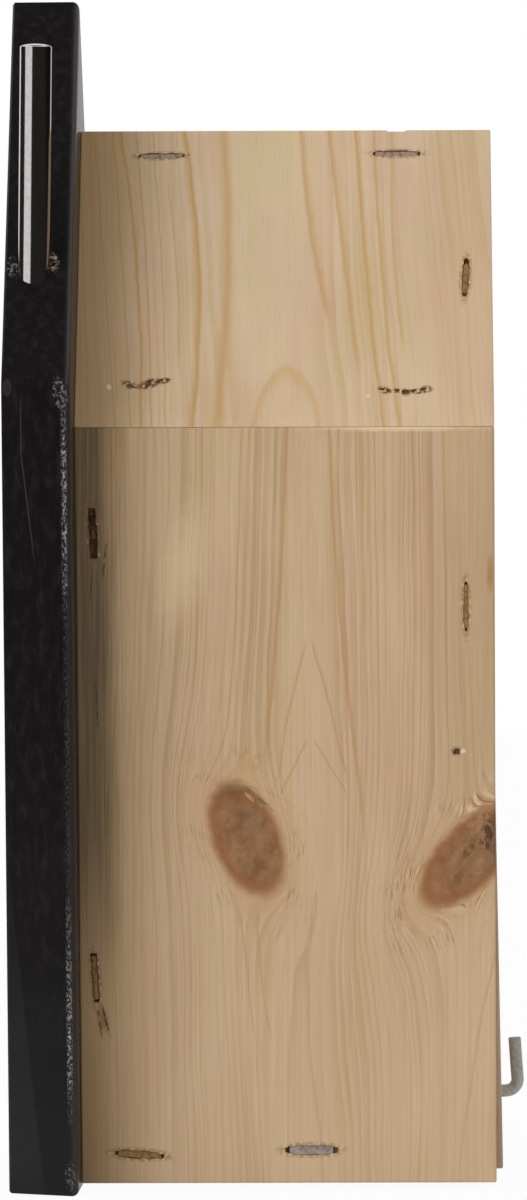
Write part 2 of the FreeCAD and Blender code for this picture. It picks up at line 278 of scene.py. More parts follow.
def new_material(name):
    material = bpy.data.materials.new(name)
    material.use_nodes = True
    tree = material.node_tree
    return material, tree, tree.nodes["Principled BSDF"].inputs


def board_place(tree, own_frame):
    """Object coordinates brought into a board's own frame, in millimetres."""
    turn = own_frame.inverted()
    mapping = tree.nodes.new("ShaderNodeMapping")
    tree.links.new(tree.nodes.new("ShaderNodeTexCoord").outputs["Object"], mapping.inputs["Vector"])
    mapping.inputs["Location"].default_value = turn.translation
    mapping.inputs["Rotation"].default_value = turn.to_euler()
    mapping.inputs["Scale"].default_value = (1 / MM,) * 3
    return mapping.outputs["Vector"]


def bump(tree, height, strength, depth_mm):
    made = tree.nodes.new("ShaderNodeBump")
    made.inputs["Strength"].default_value = strength
    made.inputs["Distance"].default_value = depth_mm * MM
    tree.links.new(height, made.inputs["Height"])
    return made.outputs["Normal"]


# Seats shallower than this show no wire, only torn wood.
SHALLOW = 0.45

KNOT_WOOD = linear(151, 104, 67)
KNOT_HEART = linear(145, 106, 72)
KNOT_RIM = linear(153, 102, 62)
KNOT_DEEP = linear(106, 69, 40)
KNOT_PALE = linear(166, 124, 88)
KNOT_HALO = linear(196, 156, 114)
KNOT_CRACK = linear(66, 46, 34)
TORN_PALE = linear(218, 192, 160)
CURL_LINE = linear(158, 118, 80)
GOLD_LINE = linear(204, 162, 88)
BROWN_LINE = linear(189, 148, 100)
LATE_EDGE = linear(164, 122, 70)
# A weather stain's colour, also used for painted shade.
STAIN_AND_SHADE = linear(106, 88, 64)
PORE = linear(120, 88, 58)
# Painted shade by the front board, warm like light bounced off the wood.
FRONT_BOARD_SHADE = linear(151, 104, 24)
FLAKE = linear(232, 214, 188)
PALE_PATCH = linear(230, 203, 166)
BRUISE = linear(132, 92, 52)
BRUISE_CORE = linear(84, 50, 24)
# Tints that multiply a board's colour.
DARKER = (0.86, 0.84, 0.8, 1.0)
PINKER = (1.0, 0.95, 0.97, 1.0)
YELLOWER = (0.98, 1.0, 0.9, 1.0)


def place_oval(tree, place, across, along, half_width, half_length, tilt, ragged=0.0):
    return use(tree, oval, Place=place, Across=across, Along=along, Half_Width=half_width,
               Half_Length=half_length, Tilt=math.radians(tilt), Ragged=ragged)


def oval_radius(tree, place, *form):
    """How far out of an oval a place lies: 1 at its rim, less inside."""
    return place_oval(tree, place, *form)["Radius"]


def draw_lines(tree, colour, place, shift, lines, arches, ink):
    """A board's bolder late-wood lines and the arches that its rings make; also how proud the lines stand.

    A line is given as across at the foot, slope, bow, soft side, sharp side, from, to, share; an arch as
    centre, lean, depth, fall, ring, softness, share.
    """
    proud = 0.0
    for foot, slope, bow, soft, sharp, first, last, share in lines:
        line = use(tree, late, Place=place, Shift=shift, At_Foot=foot, Slope=slope, Bow=bow, Soft=soft,
                   Sharp=sharp, From=first, To=last)["Line"]
        colour = draw(tree, colour, line, share, ink)
        colour = draw(tree, colour, calc(tree, "POWER", line, 4.0), 0.3 * share, LATE_EDGE)
        proud = scale_add(tree, line, share, proud)
    for centre, lean, depth, fall, at, soft, share in arches:
        ring = use(tree, rings, Place=place, Shift=shift, Heart=centre, Lean=lean, Depth=depth, Fall=fall)
        line = hump(tree, ring["Ring"], at - soft, at, at, at + 0.5 * soft)
        colour = draw(tree, colour, line, share, ink)
    return colour, proud


def draw_knot(tree, colour, place, flow, knot, radius):
    """A knot: torn grain flowing round it, a thick reddish rim on its left, greyer wood inside.

    It is given as across, along, half width, half length, tilt, raggedness, share of torn grain.
    """
    across, along, half_width, half_length, _, _, torn_share = knot
    spot = axes(tree, place)
    aside = minus(tree, spot[1], across)
    up = minus(tree, spot[2], along)
    side = calc(tree, "DIVIDE", aside, half_width)
    above = calc(tree, "DIVIDE", up, half_length)
    unrest = clouds(tree, place, 0.6, 5.0, 0.6)
    blotch = clouds(tree, place, 0.2)
    wavy = scale_add(tree, minus(tree, blotch, 0.5), 0.22, radius)
    # Round the knot: a warm halo, dark curls and pale shreds.
    colour = blend(tree, ramp(tree, radius, 1.9, 1.0, 0.0, 0.5), colour, KNOT_HALO)
    torn = clouds(tree, flow, (0.3, 2.2, 0.2), 3.0, 0.6)
    near = times(tree, hump(tree, radius, 0.95, 1.15, 1.3, 2.2),
                 ramp(tree, clouds(tree, place, 0.11, 2.0), 0.44, 0.58, 0.0, torn_share))
    colour = draw(tree, colour, times(tree, ramp(tree, torn, 0.52, 0.64), near), 0.75, CURL_LINE)
    colour = draw(tree, colour, times(tree, ramp(tree, torn, 0.46, 0.36), near), 0.5, TORN_PALE)
    # Inside: a heart off its middle, faint rings and blotches.
    off_heart = scale_add(tree, side, -0.22, wavy)
    inner = blend(tree, ramp(tree, off_heart, 0.5, 0.8), KNOT_HEART, KNOT_WOOD)
    bands = calc(tree, "SINE", scale_add(tree, unrest, 9.0, times(tree, wavy, 19.0)))
    for value, start, stop, share, ink in (
            (bands, -0.3, 1.0, 0.14, KNOT_DEEP),
            (unrest, 0.5, 0.36, 0.35, KNOT_PALE),
            (unrest, 0.58, 0.72, 0.3, KNOT_DEEP),
            (blotch, 0.5, 0.66, 0.5, KNOT_DEEP),
            (blotch, 0.46, 0.34, 0.5, KNOT_PALE)):
        inner = blend(tree, ramp(tree, value, start, stop, 0.0, share), inner, ink)
    # The rim on the left, a dark crown and the frayed upper left.
    rim_share = scale_add(tree, side, -0.35, 0.55, clamp=True)
    inner = draw(tree, inner, ramp(tree, wavy, 0.6, 0.95), rim_share, KNOT_RIM)
    crown = times(tree, ramp(tree, above, 0.35, 1.0), ramp(tree, wavy, 0.55, 0.95))
    inner = draw(tree, inner, crown, 0.6, KNOT_DEEP)
    upper_left = ramp(tree, minus(tree, up, aside), half_width, 1.6 * half_width)
    frayed = times(tree, upper_left, ramp(tree, torn, 0.4, 0.56))
    inner = draw(tree, inner, frayed, 0.67 * max(torn_share - 1.0, 0.0), TORN_PALE)
    ragged_edge = scale_add(tree, minus(tree, unrest, 0.5), 0.06, wavy)
    return blend(tree, ramp(tree, ragged_edge, 1.18, 0.86), colour, inner)


def draw_stain(tree, colour, place, streak, edge, soft, low, fade, share):
    """A weather stain from a board's front edge to a streaky border, dying out downwards."""
    spot = axes(tree, place)
    border = scale_add(tree, streak, 6.0, spot[1])
    border = scale_add(tree, ripple(tree, place, (0.1, 0.1, 0.02)), 9.0, border)
    inside = times(tree, ramp(tree, border, edge + soft, edge - soft), ramp(tree, spot[2], low, low + fade),
                   ramp(tree, streak, -0.15, 0.2, 1.0, 0.7))
    return draw(tree, colour, inside, share, STAIN_AND_SHADE)


def draw_seats(tree, colour, place, seats):
    """Torn wood at the seats: pale shreds around them, bruised wood in them."""
    shred = clouds(tree, place, 0.9, 2.0, 0.5)
    for across, along, turn, long, wide, depth, _ in seats:
        shallow = depth < SHALLOW
        rim = oval_radius(tree, place, across, along, 0.5 * wide + 0.4, 0.5 * long + 0.3, turn, 0.5)
        around = times(tree, ramp(tree, rim, 1.6, 1.0), ramp(tree, shred, 0.58, 0.68))
        colour = draw(tree, colour, around, 0.3, FLAKE)
        inside = times(tree, ramp(tree, rim, 1.5, 0.95), ramp(tree, shred, 0.62, 0.44))
        colour = draw(tree, colour, inside, 0.85 if shallow else 0.55, BRUISE)
        if shallow:
            core = times(tree, ramp(tree, rim, 1.05, 0.75), ramp(tree, shred, 0.62, 0.46))
            colour = draw(tree, colour, core, 0.8, BRUISE_CORE)
    return colour


def draw_cracks(tree, colour, place, cracks):
    """Thin broken cracks and frayed fibres: across, along, half width, half length, tilt, share, ink."""
    broken = ramp(tree, clouds(tree, place, 0.55, 4.0, 0.7), 0.43, 0.54)
    for *crack, share, ink in cracks:
        inside = ramp(tree, oval_radius(tree, place, *crack), 1.0, 0.55)
        colour = draw(tree, colour, times(tree, inside, broken), share, ink)
    return colour


def pine(name, own_frame, pale, line_colour, heart, depth, fall, lean=0.0, gap=2.3, line_share=(0.4, 0.4),
         streaks=0.18, late_ink=GOLD_LINE, foot_light=(100.0, 0.0), front_board_shade=0.0, stain=None, knots=(), lines=(),
         arches=(), cracks=(), eyes=(), flakes=(), seats=(), patches=()):
    """Raw planed pine, grown round its own heart line, with the marks of one board.

    The growth lines have one share low and one high up. Painted light that pales the foot has its height and
    share.
    An eye, a flake and a patch are ovals: across, along, half width, half length, tilt, raggedness; a patch
    then has its share and ink.
    """
    material, tree, surface = new_material(name)
    place = board_place(tree, own_frame)
    spot = axes(tree, place)
    shift = 0.0
    knot_rims = []
    for knot in knots:
        mark = place_oval(tree, place, *knot[:6])
        shift = calc(tree, "ADD", mark["Shift"], shift)
        knot_rims.append(mark["Radius"])
    ring = use(tree, rings, Place=place, Shift=shift, Heart=heart, Lean=lean, Depth=depth, Fall=fall)["Ring"]
    grown = use(tree, growth, Ring=ring, Gap=gap, Uneven=1.6)["Line"]
    fibre = use(tree, fibres, Place=place)
    streak = minus(tree, fibre["Streak"], 0.5)
    # Broad patches, growth lines, tints, late-wood lines, streaks and pores.
    shaded = [part * shade for part, shade in zip(pale, DARKER)]
    colour = blend(tree, ramp(tree, fibre["Patch"], 0.3, 0.7, 0.0, 0.55), pale, shaded)
    strength = times(tree, ramp(tree, spot[2], 30.0, 170.0, *line_share),
                     ramp(tree, fibre["Patch"], 0.35, 0.6, 0.65, 1.2))
    colour = draw(tree, colour, grown, strength, line_colour)
    tone = clouds(tree, place, (0.11, 0.11, 0.014))
    colour = blend(tree, ramp(tree, tone, 0.5, 0.66), colour, PINKER, "MULTIPLY")
    colour = blend(tree, ramp(tree, tone, 0.5, 0.34), colour, YELLOWER, "MULTIPLY")
    colour, proud = draw_lines(tree, colour, place, shift, lines, arches, late_ink)
    colour = blend(tree, ramp(tree, streak, -0.16, 0.2, streaks, 0.0), colour, line_colour)
    colour = draw(tree, colour, fibre["Pore"], 0.18, PORE)
    # Eyes, patches, painted light at the foot, painted shade by the front board, flakes and the stain.
    for eye in eyes:
        outline = hump(tree, oval_radius(tree, place, *eye), 0.2, 0.95, 1.0, 1.5)
        colour = draw(tree, colour, outline, 0.6, late_ink)
    for *patch, share, ink in patches:
        colour = draw(tree, colour, ramp(tree, oval_radius(tree, place, *patch), 1.0, 0.1), share, ink)
    # Painted light: the board is drawn paler below a height.
    light_below, light_share = foot_light
    colour = draw(tree, colour, ramp(tree, spot[2], light_below, 0.0), light_share, PALE_PATCH)
    # Painted shade beside the front board, warmed like bounced light: darker towards the front edge.
    if front_board_shade:
        reach = scale_add(tree, streak, 4.0, spot[1])
        colour = draw(tree, colour, ramp(tree, reach, BOX_FRONT + 26.0, BOX_FRONT + 3.0), front_board_shade, FRONT_BOARD_SHADE)
    for flake in flakes:
        colour = draw(tree, colour, ramp(tree, oval_radius(tree, place, *flake), 1.0, 0.7), 0.7, FLAKE)
    if stain:
        colour = draw_stain(tree, colour, place, streak, *stain)
    # Knots, seats and cracks lie on top.
    flow = add(tree, "CombineXYZ", spot[0], minus(tree, spot[1], shift), spot[2]).outputs[0]
    for knot, radius in zip(knots, knot_rims):
        colour = draw_knot(tree, colour, place, flow, knot, radius)
    colour = draw_seats(tree, colour, place, seats)
    colour = draw_cracks(tree, colour, place, cracks)
    plug(tree, surface["Base Color"], colour)
    plug(tree, surface["Roughness"], ramp(tree, fibre["Streak"], 0.3, 0.7, 0.72, 0.56))
    relief = scale_add(tree, calc(tree, "ADD", grown, proud), 0.5, times(tree, fibre["Streak"], 0.8))
    plug(tree, surface["Normal"], bump(tree, relief, 0.35, 0.12))
    surface["Specular IOR Level"].default_value = 0.3
    return material


def plain_metal(name, colour, dull, metallic, rough, grain, shaded_side=None):
    """A metal whose gloss varies along its length, with duller patches; its side towards +y may carry painted
    shade.
    """
    material, tree, surface = new_material(name)
    place = add(tree, "TexCoord").outputs["Object"]
    drawn = clouds(tree, place, grain, 4.0, 0.6)
    colour = blend(tree, ramp(tree, clouds(tree, place, 900.0), 0.42, 0.7), colour, dull)
    # Painted shade along the side towards +y.
    if shaded_side:
        start, stop, share, ink = shaded_side
        colour = draw(tree, colour, ramp(tree, axes(tree, place)[1], start * MM, stop * MM), share, ink)
    plug(tree, surface["Base Color"], colour)
    plug(tree, surface["Roughness"], ramp(tree, drawn, 0.3, 0.75, *rough))
    plug(tree, surface["Normal"], bump(tree, drawn, 0.08, 0.02))
    surface["Metallic"].default_value = metallic
    return material


# Mesh building.


def board_frame(origin, outward, along):
    """A board's own frame: x out of its face, z along its grain, y across."""
    outward = Vector(outward).normalized()
    along = Vector(along).normalized()
    turn = Matrix((outward, along.cross(outward), along)).transposed().to_4x4()
    return Matrix.Translation(origin) @ turn


def picked(items, kind):
    return [item for item in items if isinstance(item, kind)]


def draw_out(bm, faces, way, keep=True):
    """Extrude faces along a way, and give back the new ones."""
    made = bmesh.ops.extrude_face_region(bm, geom=faces, use_keep_orig=keep)["geom"]
    bmesh.ops.translate(bm, verts=picked(made, bmesh.types.BMVert), vec=way)
    return picked(made, bmesh.types.BMFace)


def close_up(bm):
    """Merge the doubles of a spun shape and turn its faces outwards."""
    bmesh.ops.remove_doubles(bm, verts=bm.verts[:], dist=1e-4)
    bmesh.ops.recalc_face_normals(bm, faces=bm.faces[:])


def blank(outline, pull, start, stop, holes=()):
    """A board's solid: an outline pulled through, across the grain ("y") or through its thickness ("x")."""
    bm = bmesh.new()

    def spot(aside, up):
        return (aside, start, up) if pull == "y" else (start, aside, up)

    rim = [bm.verts.new(spot(*point)) for point in outline]
    rim_edges = [bm.edges.new(pair) for pair in zip(rim, rim[1:] + rim[:1])]
    for aside, up, radius in holes:
        facing = Matrix.Translation(spot(aside, up)) @ Matrix.Rotation(math.radians(90), 4, "Y")
        bmesh.ops.create_circle(bm, segments=80, radius=radius, matrix=facing)
    if holes:
        bmesh.ops.triangle_fill(bm, use_beauty=True, edges=bm.edges[:])
    else:
        bmesh.ops.edgeloop_fill(bm, edges=rim_edges)
    draw_out(bm, bm.faces[:], (0, stop - start, 0) if pull == "y" else (stop - start, 0, 0))
    bmesh.ops.recalc_face_normals(bm, faces=bm.faces[:])
    return bm


def turned(section, axis, side, steps):
    """A round solid: half its section, as radius and height, spun about an axis."""
    bm = bmesh.new()
    corners = [bm.verts.new(Vector(axis) * up + Vector(side) * radius) for radius, up in section]
    edges = [bm.edges.new(pair) for pair in zip(corners, corners[1:])]
    bmesh.ops.spin(bm, geom=[*corners, *edges], cent=(0, 0, 0), axis=axis, angle=math.tau, steps=steps,
                   use_merge=True)
    close_up(bm)
    return bm


# Edges that turn by more than this, in radians, are arrises.
SHARP = 0.5


def soften(bm, width, segments=2, keep=None):
    """Round the sharp arrises, or those that keep() picks."""
    arrises = [edge for edge in bm.edges if len(edge.link_faces) == 2 and edge.calc_face_angle(0) > SHARP]
    if keep:
        arrises = [edge for edge in arrises if keep(edge)]
    bmesh.ops.bevel(bm, geom=arrises, offset=width, offset_type="OFFSET", segments=segments, profile=0.5,
                    affect="EDGES", material=-1, clamp_overlap=True)


def slice_through(bm, spot, way):
    """Cut a plane of new edges through a whole mesh."""
    bmesh.ops.bisect_plane(bm, geom=[*bm.verts, *bm.edges, *bm.faces], plane_co=spot, plane_no=way)


def face_under(bm, point):
    """The face of a board's outer side that a point lies on."""
    for face in bm.faces:
        if face.normal.x > 0.99 and abs(face.verts[0].co.x - point.x) < 0.01:
            if bmesh.geometry.intersect_face_point(face, point):
                return face
    raise ValueError(f"no face under {point}")


SEAT_STRIPS = 14
# Seats deeper than this keep nearly square ends; the ends of the others narrow.
SQUARE_FROM = 1.2
SQUARE_ENDS = 0.1
NARROW_ENDS = 0.6
# How far beyond its own size a seat's torn faces may reach.
SEAT_MARGIN = 0.5


def carve(bm, across, along, turn, long, wide, depth, ragged):
    """Sink a torn seat into a board's outer face, its long side turned from the grain by an angle."""
    centre = Vector((0.0, across, along))
    spin = Matrix.Rotation(math.radians(turn), 3, "X")
    length_way = spin @ Vector((0, 0, 1))
    width_way = spin @ Vector((0, 1, 0))
    for way, reach in ((length_way, long / 2), (width_way, wide / 2)):
        for sign in (1, -1):
            face = face_under(bm, centre)
            bmesh.ops.bisect_plane(bm, geom=[face, *face.edges, *face.verts],
                                   plane_co=centre + way * sign * reach, plane_no=way)
    strips = {face_under(bm, centre)}
    for step in range(1, SEAT_STRIPS):
        parts = {item for face in strips for item in (face, *face.edges, *face.verts)}
        cut = bmesh.ops.bisect_plane(bm, geom=list(parts), plane_no=length_way,
                                     plane_co=centre + length_way * long * (step / SEAT_STRIPS - 0.5))
        strips = set(picked(cut["geom"], bmesh.types.BMFace))
    ends = NARROW_ENDS if depth < SQUARE_FROM else SQUARE_ENDS
    for vert in {vert for face in strips for vert in face.verts}:
        off = vert.co - centre
        narrowing = ends * abs(2 * off.dot(length_way) / long) ** 5
        sideways = noise.noise(vert.co * 1.7) * ragged - off.dot(width_way) * narrowing
        endways = noise.noise(vert.co * 1.3 + Vector((7, 3, 1))) * ragged * 0.6
        vert.co += width_way * sideways + length_way * endways
    sunk = bmesh.ops.extrude_face_region(bm, geom=list(strips))["geom"]
    bmesh.ops.delete(bm, geom=list(strips), context="FACES")
    for vert in picked(sunk, bmesh.types.BMVert):
        vert.co.x -= depth * (1 + 0.35 * noise.noise(vert.co * 2.1))
    if depth < SHALLOW:
        return
    for face in bm.faces:
        middle = face.calc_center_median()
        near = middle - centre
        if -depth * 1.4 < middle.x < -0.02 and abs(near.dot(length_way)) < long / 2 + SEAT_MARGIN:
            if abs(near.dot(width_way)) < wide / 2 + SEAT_MARGIN:
                face.material_index = 1


def carve_seats(bm, seats):
    """Carve the longest seats first, so that no cut line of a short one crosses them."""
    for seat in sorted(seats, key=lambda seat: seat[3], reverse=True):
        carve(bm, *seat)


def chip_end(bm, first, last, end, deep):
    """Knock a shallow chip out of the outer arris at a board's end."""
    for across in (first, first + 0.4, last - 0.8, last):
        slice_through(bm, (0, across, 0), (0, 1, 0))
    for vert in bm.verts:
        if first + 0.2 < vert.co.y < last - 0.2 and vert.co.z > end - 0.4 and vert.co.x > -1.0:
            vert.co.z -= deep


def roughen(bm, reach, scale):
    """A hand's unevenness along a board's edges; its two faces stay flat."""
    for vert in bm.verts:
        vert.co.yz += noise.noise_vector(vert.co * scale).yz * reach


def new_object(name, bm, *materials):
    mesh = bpy.data.meshes.new(name)
    bm.to_mesh(mesh)
    bm.free()
    for material in materials:
        mesh.materials.append(material)
    piece = bpy.data.objects.new(name, mesh)
    bpy.context.scene.collection.objects.link(piece)
    return piece


def finish_piece(name, bm, own_frame, materials, body, slot, *nodes, meet_front=False, angle=35,
                 flat_over=15.0):
    """Put a piece in place, in metres, and let it stand for its CAD nodes; larger faces stay flat."""
    bmesh.ops.transform(bm, matrix=own_frame, verts=bm.verts[:])
    if meet_front:
        for vert in bm.verts:
            if abs(vert.co.y - BOX_FRONT) < 1.0:
                vert.co.y += front_plane(vert.co.z)
    bmesh.ops.scale(bm, vec=(MM,) * 3, verts=bm.verts[:])
    piece = new_object(name, bm, *materials)
    piece.data.set_sharp_from_angle(angle=math.radians(angle))
    for face in piece.data.polygons:
        face.use_smooth = face.area < flat_over * MM ** 2
    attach(piece, body)
    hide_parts(*nodes)


def gather(parts):
    """Several solids in one mesh."""
    whole = bmesh.new()
    for part in parts:
        spare = bpy.data.meshes.new("spare")
        part.to_mesh(spare)
        part.free()
        whole.from_mesh(spare)
        bpy.data.meshes.remove(spare)
    return whole


# Frames of the boards.

UP = (0, 0, 1)
right_wall_frame = board_frame((HALF_BOX, 0, BOX_FOOT), (1, 0, 0), UP)
left_wall_frame = board_frame((-HALF_BOX, 0, BOX_FOOT), (-1, 0, 0), UP)
right_roof_frame = board_frame((HALF_BOX, 0, EAVES), (1, 0, 1), (-1, 0, 1))
left_roof_frame = board_frame((-HALF_BOX, 0, EAVES), (-1, 0, 1), (1, 0, 1))
front_frame = board_frame((0, BOX_FRONT - FRONT_THICK, 0), (0, -1, 0), UP)
panel_frame = board_frame((0, panel_high.y, BOX_FOOT), (0, 1, 0), UP)
back_frame = board_frame((0, BOX_REAR, BOX_FOOT), (0, 1, 0), UP)
floor_frame = board_frame((0, 0, floor_high.z), UP, (1, 0, 0))
pivots = {joint["name"]: Vector(joint["pos_m"]) / MM for joint in frame["joints"]}
DOOR_PIVOT = pivots["door_swing"]
DOOR_AJAR = math.radians(1.0)
door_swung = Matrix.Translation(DOOR_PIVOT) @ Matrix.Rotation(DOOR_AJAR, 4, "X")
door_frame = door_swung @ board_frame((0, 0, 0), (0, 1, 0), UP)

# Where the staples are on a side: across, along, turn from the grain.
PANEL_TOP = (-43.4, 162.5, 2.7)
PANEL_FOOT = (-43.2, 51.4, 4)
BACK_WALL = (49.8, 144.0, 0)
BACK_ROOF = (50.2, 54.5, -2.6)
FLOOR_FRONT = (-32.2, 7.2, 86)
FLOOR_REAR = (10.8, 8.2, 90)
RIDGE_FRONT = (-27.7, 100.6, 91)
RIDGE_REAR = (32.8, 101.2, 90)
# Seats: such a place, then long, wide, depth, raggedness. The wall's last one is the pivot nail's.
wall_seats = [
    (*PANEL_TOP, 12.6, 2.0, 3.0, 0.4),
    (*BACK_WALL, 12.4, 1.25, 0.9, 0.15),
    (*PANEL_FOOT, 12.2, 1.7, 1.3, 0.35),
    (*FLOOR_FRONT, 12.4, 2.0, 1.0, 0.4),
    (*FLOOR_REAR, 13.2, 2.4, 0.9, 0.25),
    (47.3, 107.75, 90, 1.7, 1.4, 0.9, 0.2),
]
# The wood over the eave staples is torn in many small places. The last seat is a back staple's.
roof_seats = [
    (-34.2, 15.4, 62, 3.8, 1.6, 0.4, 0.5),
    (-29.4, 15.8, 118, 4.4, 1.9, 0.44, 0.5),
    (-26.0, 16.8, 105, 2.8, 1.0, 0.3, 0.35),
    (29.6, 13.2, 60, 2.4, 1.3, 0.4, 0.5),
    (32.2, 12.9, 95, 2.4, 0.6, 0.25, 0.25),
    (34.9, 12.5, 100, 1.9, 1.8, 0.6, 0.4),
    (37.5, 12.7, 82, 2.6, 0.7, 0.3, 0.3),
    (40.0, 13.4, 112, 2.6, 1.3, 0.4, 0.5),
    (*BACK_ROOF, 14.4, 1.8, 1.0, 0.2),
]
ridge_seats = [
    (*RIDGE_FRONT, 11.8, 2.1, 0.7, 0.4),
    (*RIDGE_REAR, 12.2, 2.2, 0.7, 0.5),
]


def other_side(spots):
    """The same spots on the other side of the house."""
    return [(-across, along, -turn, *rest) for across, along, turn, *rest in spots]


# Materials.

WALL_PALE = linear(208, 180, 147)
WALL_LINE = linear(168, 132, 91)
DOOR_PALE = linear(204, 185, 157)
ROOF_PALE = linear(225, 198, 165)
ROOF_LINE = linear(192, 152, 94)

right_wall_pine = pine(
    "right_wall_pine", right_wall_frame, WALL_PALE, WALL_LINE, heart=10.2, depth=6.0, fall=0.02, gap=1.8,
    line_share=(0.46, 0.6), streaks=0.25, late_ink=BROWN_LINE,
    knots=[(-5.2, 86.0, 8.2, 14.6, 22, 0.08, 0.9), (50.1, 81.3, 7.8, 15.5, -43, 0.1, 1.6)],
    lines=[
        (-19.36, 0.2366, -0.000558, 1.5, 0.5, 96, 215, 0.7),
        (40.7, -0.2426, 0.00058, 0.6, 1.6, 75, 215, 0.6),
        (46.0, -0.012, 0.0, 0.8, 0.3, 110, 215, 0.5),
        (158.6, -1.64, 0.0, 0.4, 0.3, 93.2, 101, 0.8),
        (-22.8, 0.24, 0.0, 0.9, 0.4, 98, 138.5, 0.5),
        (43.6, -0.24, 0.0, 0.4, 0.9, 98, 138.5, 0.5),
        (-59.0, 0.62, 0.0, 0.8, 0.4, 96, 111.8, 0.5),
        (79.6, -0.62, 0.0, 0.4, 0.8, 96, 111.8, 0.5),
        (3.1, -0.109, 0.0, 0.7, 0.4, 34, 72, 0.45),
        (8.0, -0.14, 0.0, 0.8, 0.4, 34, 72, 0.55),
        (46.8, 0.07, 0.0012, 0.8, 0.5, -5, 64, 0.5),
        (43.3, 0.01, 0.0, 0.7, 0.4, -5, 55, 0.4),
    ],
    cracks=[
        (47.4, 81.6, 1.3, 3.2, -30, 0.6, KNOT_PALE),
        (53.2, 79.2, 1.0, 3.6, -20, 0.6, KNOT_PALE),
        (53.4, 91.4, 2.6, 6.4, -38, 0.9, KNOT_PALE),
        (50.2, 82.9, 1.2, 2.8, -40, 0.6, KNOT_CRACK),
        (54.9, 86.8, 2.3, 5.2, -12, 0.85, KNOT_CRACK),
        (-4.2, 96.3, 0.6, 4.4, 52, 0.7, KNOT_HALO),
        (-2.2, 96.2, 0.5, 6.4, 50, 0.6, KNOT_DEEP),
        (-42.1, 40.2, 0.4, 4.8, 8, 0.85, BRUISE_CORE),
        (-40.6, 41.0, 0.4, 5.0, 14, 0.85, BRUISE_CORE),
        (-40.5, 156.0, 0.35, 5.6, -6, 0.7, KNOT_CRACK),
        (-43.9, 149.0, 0.3, 7.0, -5, 0.5, KNOT_CRACK),
        (-42.6, 120.0, 0.35, 8.5, 3, 0.6, KNOT_CRACK),
    ],
    eyes=[(-6.2, 105.2, 0.8, 1.8, 8), (-2.6, 105.4, 0.9, 1.9, -16)],
    flakes=[(48.9, 107.9, 0.9, 0.7, 0, 0.4)],
    seats=wall_seats,
    patches=[
        (-21.0, 155.0, 8.0, 22.0, -12, 0.5, 0.4, PALE_PATCH),
        # Painted shade, darker towards the wall's rear edge.
        (58.0, 150.0, 26.0, 90.0, 0, 0.1, 0.35, WALL_LINE),
        (55.9, 152.0, 1.2, 7.0, 0, 0.5, 0.8, LATE_EDGE),
        # Painted shade beside the front board, low on the wall.
        (-47.5, 14.0, 9.5, 55.0, 0, 0.3, 0.48, STAIN_AND_SHADE),
        (-41.4, 41.0, 2.0, 5.6, 20, 0.5, 0.9, BRUISE),
        # Painted highlight along the wall's top arris.
        (33.0, 188.8, 30.0, 1.4, 0, 0.6, 0.9, PALE_PATCH),
    ],
    # Painted shade beside the front board.
    front_board_shade=0.35,
    stain=(-38.5, 4.2, 34.0, 62.0, 0.94),
    # Painted light makes the lower wall paler.
    foot_light=(110.0, 0.22),
)
right_roof_pine = pine(
    "right_roof_pine", right_roof_frame, ROOF_PALE, ROOF_LINE, heart=4.0, depth=14.0, fall=0.0, lean=-0.05,
    gap=3.1, line_share=(0.3, 0.3),
    lines=[
        (-37.7, -0.0633, -0.000045, 0.8, 0.3, -20, 130, 0.4),
        (-33.6, -0.0487, -0.000107, 0.8, 0.3, -20, 130, 0.42),
        (-31.2, 0.0021, -0.000617, 1.0, 0.6, -20, 130, 0.65),
        (-28.6, -0.0226, -0.000269, 0.8, 0.3, -20, 130, 0.5),
        (-25.2, -0.0082, -0.000336, 0.8, 0.3, -20, 130, 0.4),
        (-22.1, 0.0199, -0.000643, 0.8, 0.3, 15, 100, 0.4),
        (-18.4, 0.0664, -0.000887, 2.0, 0.8, -20, 130, 0.7),
        (-12.6, 0.0838, -0.000704, 3.0, 2.4, -20, 130, 0.5),
        (23.3, -0.2393, 0.00092, 1.0, 2.4, 30, 130, 0.5),
        (24.8, -0.0936, 0.000083, 0.8, 2.0, 12, 130, 0.5),
        (29.3, -0.0922, 0.000242, 0.7, 1.6, -20, 130, 0.6),
        (33.2, -0.0966, 0.000352, 0.7, 1.5, -20, 130, 0.55),
        (37.9, -0.1413, 0.00076, 0.6, 1.3, 20, 130, 0.42),
    ],
    arches=[(4.5, 0.06, 4.9, 0.256, 10.0, 1.8, 0.45)],
    flakes=[(-39.6, 14.6, 0.7, 1.2, 10, 0.9), (25.5, 11.3, 0.7, 0.9, 0, 0.9)],
    seats=roof_seats + ridge_seats,
    patches=[
        (-2.0, 8.0, 34.0, 16.0, 0, 0.3, 0.15, KNOT_HALO),
        (48.0, 55.0, 18.0, 80.0, 0, 0.2, 0.3, KNOT_HALO),
    ],
    # Painted shade beside the front board.
    front_board_shade=0.5,
    streaks=0.08,
)
left_wall_pine = pine(
    "left_wall_pine", left_wall_frame, WALL_PALE, WALL_LINE, heart=-14.0, depth=6.0, fall=0.03, gap=2.4,
    knots=[(22.0, 128.0, 7.0, 11.0, -14, 0.1, 0.5)],
    seats=other_side(wall_seats),
)
left_roof_pine = pine(
    "left_roof_pine", left_roof_frame, ROOF_PALE, ROOF_LINE, heart=12.0, depth=5.0, fall=0.1, gap=2.9,
    line_share=(0.5, 0.5),
    seats=other_side(roof_seats),
)
floor_pine = pine("floor_pine", floor_frame, WALL_PALE, WALL_LINE, heart=-20.0, depth=12.0, fall=0.03)
panel_pine = pine("panel_pine", panel_frame, WALL_PALE, WALL_LINE, heart=30.0, depth=8.0, fall=0.04)
